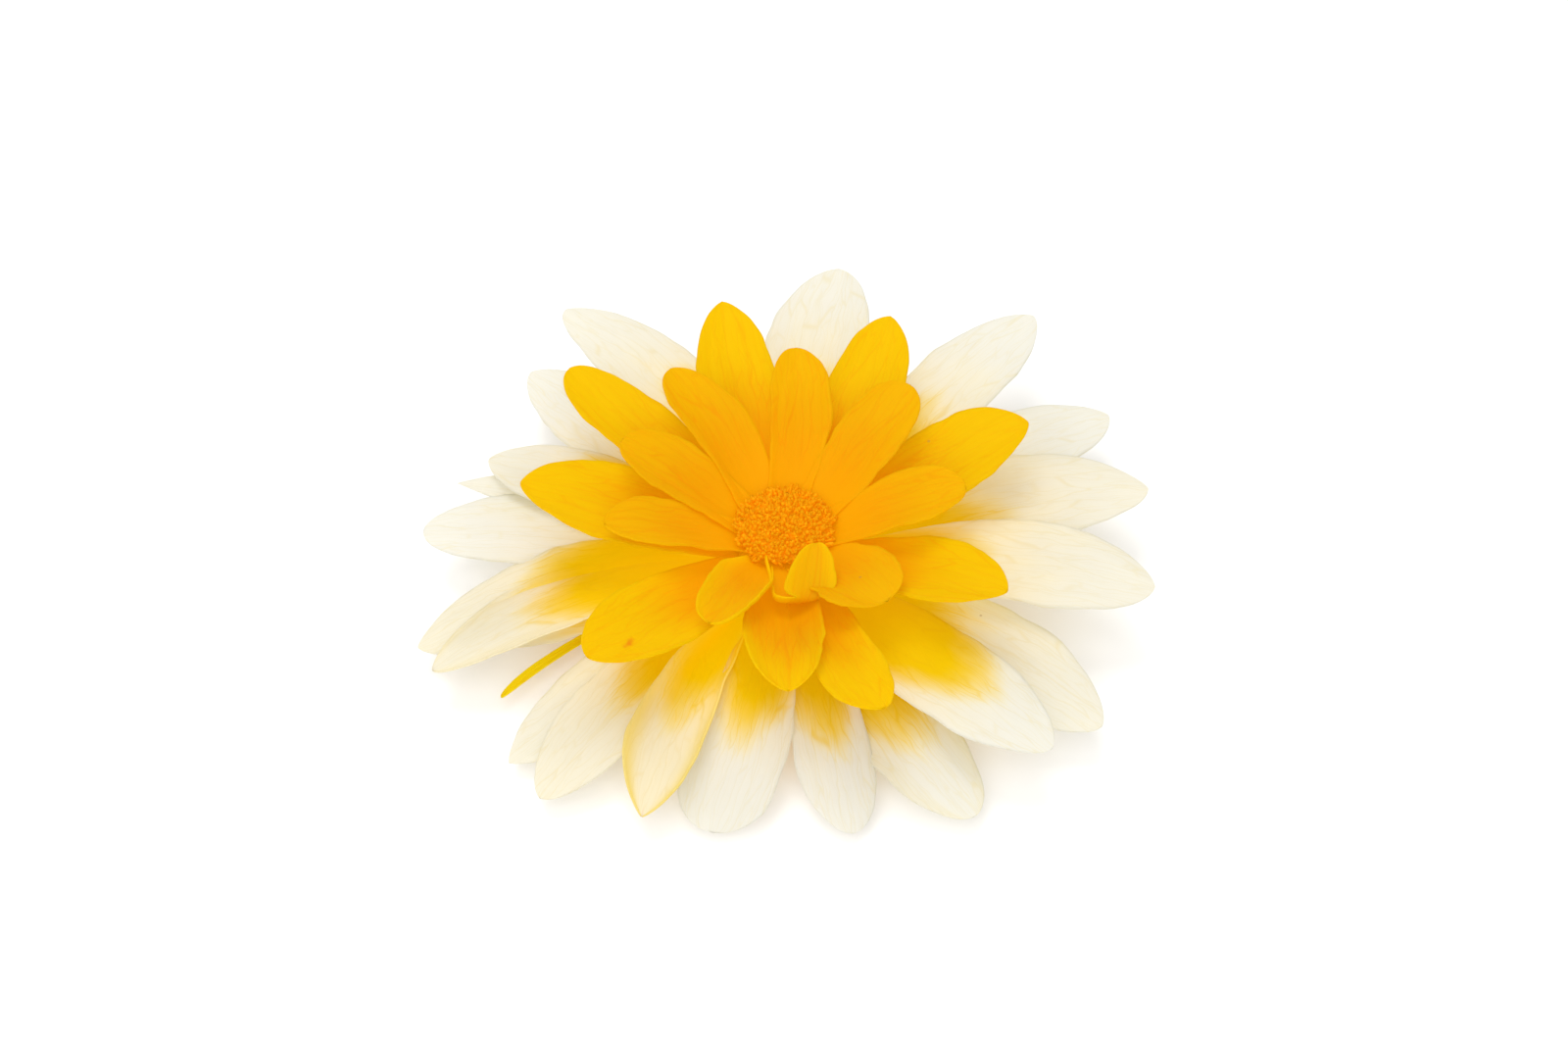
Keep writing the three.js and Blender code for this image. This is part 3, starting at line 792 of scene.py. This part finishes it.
def add_petal(bm, marks, shape, number, stations, strips, relief):
    """Adds one petal to bm: a grid laid along the petal's midrib."""
    length = shape["reach"] - shape["root"]
    for vertex in bmesh.ops.create_grid(bm, x_segments=stations, y_segments=strips, size=1)["verts"]:
        along = 1 - (1 - (vertex.co.x + 1) / 2) ** TIP_CROWDING
        across = vertex.co.y
        vertex.co, half = petal_point(shape, along, across, number, relief)
        vertex[marks.place] = (along, across, number)
        vertex[marks.fan] = (along * length, across * half ** FAN_NARROWING * FAN_SPREAD, number * FAN_APART)
        vertex[marks.dye] = (shape["gold"], shape["slant"] + SLANT_ZERO, shape["tint"], shape["margin"])
        vertex[marks.stain] = stain_at(shape, along, across)


def add_turned(bm, outline, steps):
    """Turns an outline, given as radius and height in millimetres, round +Z. Returns its points."""
    points = [bm.verts.new((radius * MM, 0, height * MM)) for radius, height in outline]
    edges = [bm.edges.new(pair) for pair in zip(points, points[1:])]
    before = set(bm.verts) - set(points)
    bmesh.ops.spin(
        bm, geom=points + edges, axis=(0, 0, 1), cent=(0, 0, 0), dvec=(0, 0, 0), angle=2 * math.pi,
        steps=steps, use_merge=True, use_duplicate=False)
    return [vertex for vertex in bm.verts if vertex not in before]


def close_seams(bm):
    """Merges the doubled points of turned pieces and turns their faces outwards."""
    bmesh.ops.remove_doubles(bm, verts=bm.verts, dist=WELD)
    bmesh.ops.recalc_face_normals(bm, faces=bm.faces)


def add_collar(bm, marks, name, petals):
    """The ring of fused claws that holds a row together, rounded and grooved between the petals."""
    bottom, top, radius, hole = COLLARS[name]
    foot, low, high, head = scaled(COLLAR_SHARES, radius)
    outline = (
        (hole, bottom), (foot, bottom), (low, bottom + COLLAR_EDGE), (radius, (bottom + top) / 2),
        (high, top - COLLAR_EDGE), (head, top), (hole, top), (hole, bottom),
    )
    for vertex in add_turned(bm, outline, ROUND):
        angle = math.atan2(vertex.co.y, vertex.co.x)
        if vertex.co.xy.length > hole * COLLAR_WALL * MM:
            groove = COLLAR_GROOVE * math.cos(2 * len(petals) * angle)
            vertex.co.xy = vertex.co.xy * (1 - groove - COLLAR_INSET)
        vertex[marks.place] = (0, COLLAR_SWAY * math.sin(len(petals) * angle), 0)
        vertex[marks.fan] = (vertex.co.z / MM, angle * radius, 0)
        vertex[marks.dye] = (1, SLANT_ZERO, 0, 0)


def finish_mesh(bm, name, material, node):
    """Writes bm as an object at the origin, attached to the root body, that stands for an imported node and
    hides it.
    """
    mesh = bpy.data.meshes.new(name)
    bm.to_mesh(mesh)
    bm.free()
    mesh.materials.append(material)
    mesh.shade_smooth()
    piece = bpy.data.objects.new(name, mesh)
    bpy.context.scene.collection.objects.link(piece)
    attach(piece, "root")
    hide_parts(node)


def walled(context, bm, thickness):
    """The sheets in bm as a mesh of closed blades, half the thickness to each side."""
    mesh = bpy.data.meshes.new("sheets")
    bm.to_mesh(mesh)
    bm.free()
    holder = bpy.data.objects.new("sheets", mesh)
    context.scene.collection.objects.link(holder)
    wall = holder.modifiers.new("blade", "SOLIDIFY")
    wall.thickness = thickness
    wall.offset = 0
    blades = bpy.data.meshes.new_from_object(holder.evaluated_get(context.evaluated_depsgraph_get()))
    bpy.data.objects.remove(holder)
    return blades


def build_row(context, name, petals, material):
    """A row of petals with its collar, as one object."""
    settings = context.scene.dahlia_petals
    sheets = bmesh.new()
    marks = PetalMarks(sheets)
    for number, shape in enumerate(petals, 1):
        add_petal(sheets, marks, shape, number, settings.stations, settings.strips, settings.relief)
    blades = walled(context, sheets, settings.blade)
    bm = bmesh.new()
    add_collar(bm, PetalMarks(bm), name, petals)
    close_seams(bm)
    bm.from_mesh(blades)
    finish_mesh(bm, name + "_fine", material, name)


# Operators, one for each piece and the studio
class DAHLIA_OT_white_petals(bpy.types.Operator):
    """Builds the two rows of white petals with golden bases"""

    bl_idname = "dahlia.white_petals"
    bl_label = "White petals"

    def execute(self, context):
        colours = context.scene.dahlia_colours
        material = petal_material(
            "white_petal", colours.white_tip, colours.white_middle, colours.white_base, **WHITE_DYE_AND_PAINTED_LIGHT)
        build_row(context, "white_petals", WHITE_PETALS, material)
        return {"FINISHED"}


class DAHLIA_OT_yellow_petals(bpy.types.Operator):
    """Builds the row of yellow petals"""

    bl_idname = "dahlia.yellow_petals"
    bl_label = "Yellow petals"

    def execute(self, context):
        colours = context.scene.dahlia_colours
        material = petal_material(
            "yellow_petal", colours.yellow_tip, colours.yellow_middle, colours.yellow_base,
            flush=colours.yellow_middle, rolled=colours.yellow_tip, **YELLOW_DYE_AND_PAINTED_LIGHT)
        build_row(context, "yellow_petals", YELLOW_PETALS, material)
        return {"FINISHED"}


class DAHLIA_OT_golden_petals(bpy.types.Operator):
    """Builds the row of golden petals round the disc"""

    bl_idname = "dahlia.golden_petals"
    bl_label = "Golden petals"

    def execute(self, context):
        colours = context.scene.dahlia_colours
        material = petal_material(
            "golden_petal", colours.golden_tip, colours.golden_middle, colours.golden_base,
            flush=colours.golden_middle, **GOLDEN_DYE_AND_PAINTED_LIGHT)
        build_row(context, "golden_petals", GOLDEN_PETALS, material)
        return {"FINISHED"}


class DAHLIA_OT_under_petals(bpy.types.Operator):
    """Builds the narrow petals of the lowest row"""

    bl_idname = "dahlia.under_petals"
    bl_label = "Under petals"

    def execute(self, context):
        material = petal_material("under_petal", **UNDER_DYE_AND_PAINTED_LIGHT)
        build_row(context, "under_petals", UNDER_PETALS, material)
        return {"FINISHED"}


def dome_height(share):
    """Height of the dome at a share of its radius."""
    return DISC_TOP - (DISC_TOP - DISC_RIM) * share * share


class DAHLIA_OT_disc(bpy.types.Operator):
    """Builds the disc: a dome covered by short curly florets"""

    bl_idname = "dahlia.disc"
    bl_label = "Disc florets"

    def execute(self, context):
        settings = context.scene.dahlia_disc
        bm = bmesh.new()
        shade = bm.verts.layers.float_vector.new("shade")
        crown = [(DISC_RADIUS * share, dome_height(share) - DOME_SUNK) for share in DOME_SHARES]
        add_turned(bm, (*DOME_FOOT, *crown), DOME_SIDES)
        close_seams(bm)
        for vertex in bm.verts:
            vertex[shade] = (0, DOME_GLOW_HEIGHT, 0)
        draw = random.Random(SEED)
        holder = bpy.data.meshes.new("floret")
        for k in range(settings.florets):
            share = math.sqrt((k + 0.5) / settings.florets)
            one_floret(holder, draw, share, k * GOLDEN_ANGLE, settings)
            bm.from_mesh(holder)
        material = floret_material(context.scene.dahlia_colours.floret)
        finish_mesh(bm, "disc_florets_fine", material, "disc_florets")
        return {"FINISHED"}


def one_floret(holder, draw, share, azimuth, settings):
    """Writes one floret to a mesh: a short curling tube on the dome, closed at both ends."""
    radius = share * (DISC_RADIUS - RIM_GAP + draw.uniform(*SCATTER)) * MM
    height = (dome_height(share) - FLORET_SUNK) * MM
    lean = share * LEAN_AT_RIM + draw.uniform(*LEANS)
    length = settings.length * draw.uniform(*LENGTHS)
    thick = settings.radius * draw.uniform(*WIDTHS)
    curl = draw.uniform(*CURLS)
    spin = draw.uniform(0, 2 * math.pi)
    own = draw.uniform(0, 1)
    bm = bmesh.new()
    shade = bm.verts.layers.float_vector.new("shade")
    bmesh.ops.create_cone(
        bm, cap_ends=True, cap_tris=False, segments=FLORET_SIDES, radius1=thick, radius2=thick, depth=length)
    upright = [edge for edge in bm.edges if abs(edge.verts[0].co.z - edge.verts[1].co.z) > length / 2]
    bmesh.ops.subdivide_edges(bm, edges=upright, cuts=FLORET_CUTS, use_grid_fill=False)
    stand = Matrix.Rotation(azimuth, 4, "Z") @ Matrix.Translation((radius, 0, height))
    place = stand @ Matrix.Rotation(lean, 4, "Y") @ Matrix.Rotation(spin, 4, "Z")
    for vertex in bm.verts:
        up = vertex.co.z / length + 0.5
        swell = NECK + FLARE * up * up
        angle = curl * up * up
        aside = math.sin(angle) * length * SWAY * up
        centre = Vector((aside, 0, up * length * (1 - SHORTENING * abs(angle))))
        ring = Matrix.Rotation(angle, 3, "Y") @ Vector((vertex.co.x * swell, vertex.co.y * swell, 0))
        vertex.co = place @ (centre + ring)
        vertex[shade] = (own, up, 0)
    bm.to_mesh(holder)
    bm.free()


class DAHLIA_OT_calyx(bpy.types.Operator):
    """Builds the receptacle with its bracts and the cut stem"""

    bl_idname = "dahlia.calyx"
    bl_label = "Receptacle and bracts"

    def execute(self, context):
        bm = bmesh.new()
        marks = PetalMarks(bm)
        add_turned(bm, RECEPTACLE_OUTLINE, ROUND)
        close_seams(bm)
        low, high = scaled(FLANGE_HEIGHTS, MM)
        for vertex in bm.verts:
            angle = math.atan2(vertex.co.y, vertex.co.x)
            if low < vertex.co.z < high and vertex.co.xy.length > FLANGE_FROM * MM:
                rib = FLANGE_RIB_DEPTH * math.cos(FLANGE_RIBS * angle)
                vertex.co.xy = vertex.co.xy * (1 + rib - FLANGE_RIB_DEPTH)
        step = 360 / BRACTS
        for k in range(BRACTS):
            add_bract(bm, marks, dict(BRACT, azimuth=(k + 0.5) * step), 2 * k)
            add_bract(bm, marks, dict(INNER_BRACT, azimuth=k * step), 2 * k + 1)
        material = calyx_material(context.scene.dahlia_colours.calyx)
        finish_mesh(bm, "calyx_fine", material, "calyx")
        return {"FINISHED"}


def add_bract(bm, marks, shape, number):
    """A bract: a petal's blade, closed and thickened."""
    before = set(bm.faces)
    add_petal(bm, marks, shape, number, BRACT_STATIONS, BRACT_STRIPS, 1)
    faces = [face for face in bm.faces if face not in before]
    bmesh.ops.solidify(bm, geom=faces, thickness=BRACT_BLADE * MM)


class DAHLIA_OT_studio(bpy.types.Operator):
    """Builds the pale floor, the soft light and the camera"""

    bl_idname = "dahlia.studio"
    bl_label = "Studio"

    def execute(self, context):
        scene = context.scene
        settings = scene.dahlia_studio
        bm = bmesh.new()
        bmesh.ops.create_grid(bm, x_segments=1, y_segments=1, size=FLOOR_HALF)
        mesh = bpy.data.meshes.new("floor")
        bm.to_mesh(mesh)
        bm.free()
        material = bpy.data.materials.new("pale_floor")
        material.use_nodes = True
        shader = material.node_tree.nodes["Principled BSDF"]
        shader.inputs["Base Color"].default_value = FLOOR_COLOUR
        shader.inputs["Roughness"].default_value = 0.9
        shader.inputs["Emission Color"].default_value = WHITE_LIGHT
        shader.inputs["Emission Strength"].default_value = FLOOR_GLOW
        shader.inputs["Specular IOR Level"].default_value = 0.1
        mesh.materials.append(material)
        floor = bpy.data.objects.new("floor", mesh)
        scene.collection.objects.link(floor)

        target = Vector(LOOK_AT)
        back = Vector((0, -math.cos(settings.elevation), math.sin(settings.elevation)))
        camera = bpy.data.objects.new("camera", bpy.data.cameras.new("camera"))
        camera.data.lens = settings.lens
        camera.data.sensor_width = SENSOR_WIDTH
        camera.data.clip_start = NEAREST
        camera.location = target + back * settings.distance
        camera.rotation_euler = (-back).to_track_quat("-Z", "Y").to_euler()
        scene.collection.objects.link(camera)
        scene.camera = camera

        for name, (place, size) in LAMPS.items():
            lamp = bpy.data.lights.new(name, "AREA")
            lamp.shape = "DISK"
            lamp.size = size
            lamp.energy = getattr(settings, name)
            light = bpy.data.objects.new(name, lamp)
            light.location = place
            light.rotation_euler = (target - light.location).to_track_quat("-Z", "Y").to_euler()
            scene.collection.objects.link(light)

        world = bpy.data.worlds.new("studio")
        world.use_nodes = True
        sky = world.node_tree.nodes["Background"]
        sky.inputs["Color"].default_value = WHITE_LIGHT
        sky.inputs["Strength"].default_value = settings.sky
        scene.world = world
        scene.view_settings.view_transform = "Standard"
        scene.view_settings.gamma = GAMMA
        return {"FINISHED"}


class DAHLIA_PT_panel(bpy.types.Panel):
    """Lists the pieces of the dahlia and their settings"""

    bl_label = "Preserved dahlia"
    bl_idname = "DAHLIA_PT_panel"
    bl_space_type = "VIEW_3D"
    bl_region_type = "UI"
    bl_category = "Dahlia"

    def draw(self, context):
        for group in ("dahlia_petals", "dahlia_colours", "dahlia_disc", "dahlia_studio"):
            settings = getattr(context.scene, group)
            box = self.layout.box()
            for key in settings.__annotations__:
                box.prop(settings, key)
        for operator in OPERATORS:
            self.layout.operator(operator.bl_idname)


GROUPS = {
    "dahlia_petals": DahliaPetalSettings,
    "dahlia_colours": DahliaColourSettings,
    "dahlia_disc": DahliaDiscSettings,
    "dahlia_studio": DahliaStudioSettings,
}
OPERATORS = (
    DAHLIA_OT_calyx,
    DAHLIA_OT_under_petals,
    DAHLIA_OT_white_petals,
    DAHLIA_OT_yellow_petals,
    DAHLIA_OT_golden_petals,
    DAHLIA_OT_disc,
    DAHLIA_OT_studio,
)


def register():
    for cls in (*GROUPS.values(), *OPERATORS, DAHLIA_PT_panel):
        bpy.utils.register_class(cls)
    for name, group in GROUPS.items():
        setattr(bpy.types.Scene, name, bpy.props.PointerProperty(type=group))


def unregister():
    for name in GROUPS:
        delattr(bpy.types.Scene, name)
    for cls in reversed((*GROUPS.values(), *OPERATORS, DAHLIA_PT_panel)):
        bpy.utils.unregister_class(cls)


def main():
    register()
    bpy.ops.dahlia.calyx()
    bpy.ops.dahlia.under_petals()
    bpy.ops.dahlia.white_petals()
    bpy.ops.dahlia.yellow_petals()
    bpy.ops.dahlia.golden_petals()
    bpy.ops.dahlia.disc()
    bpy.ops.dahlia.studio()


if __name__ == "__main__":
    main()
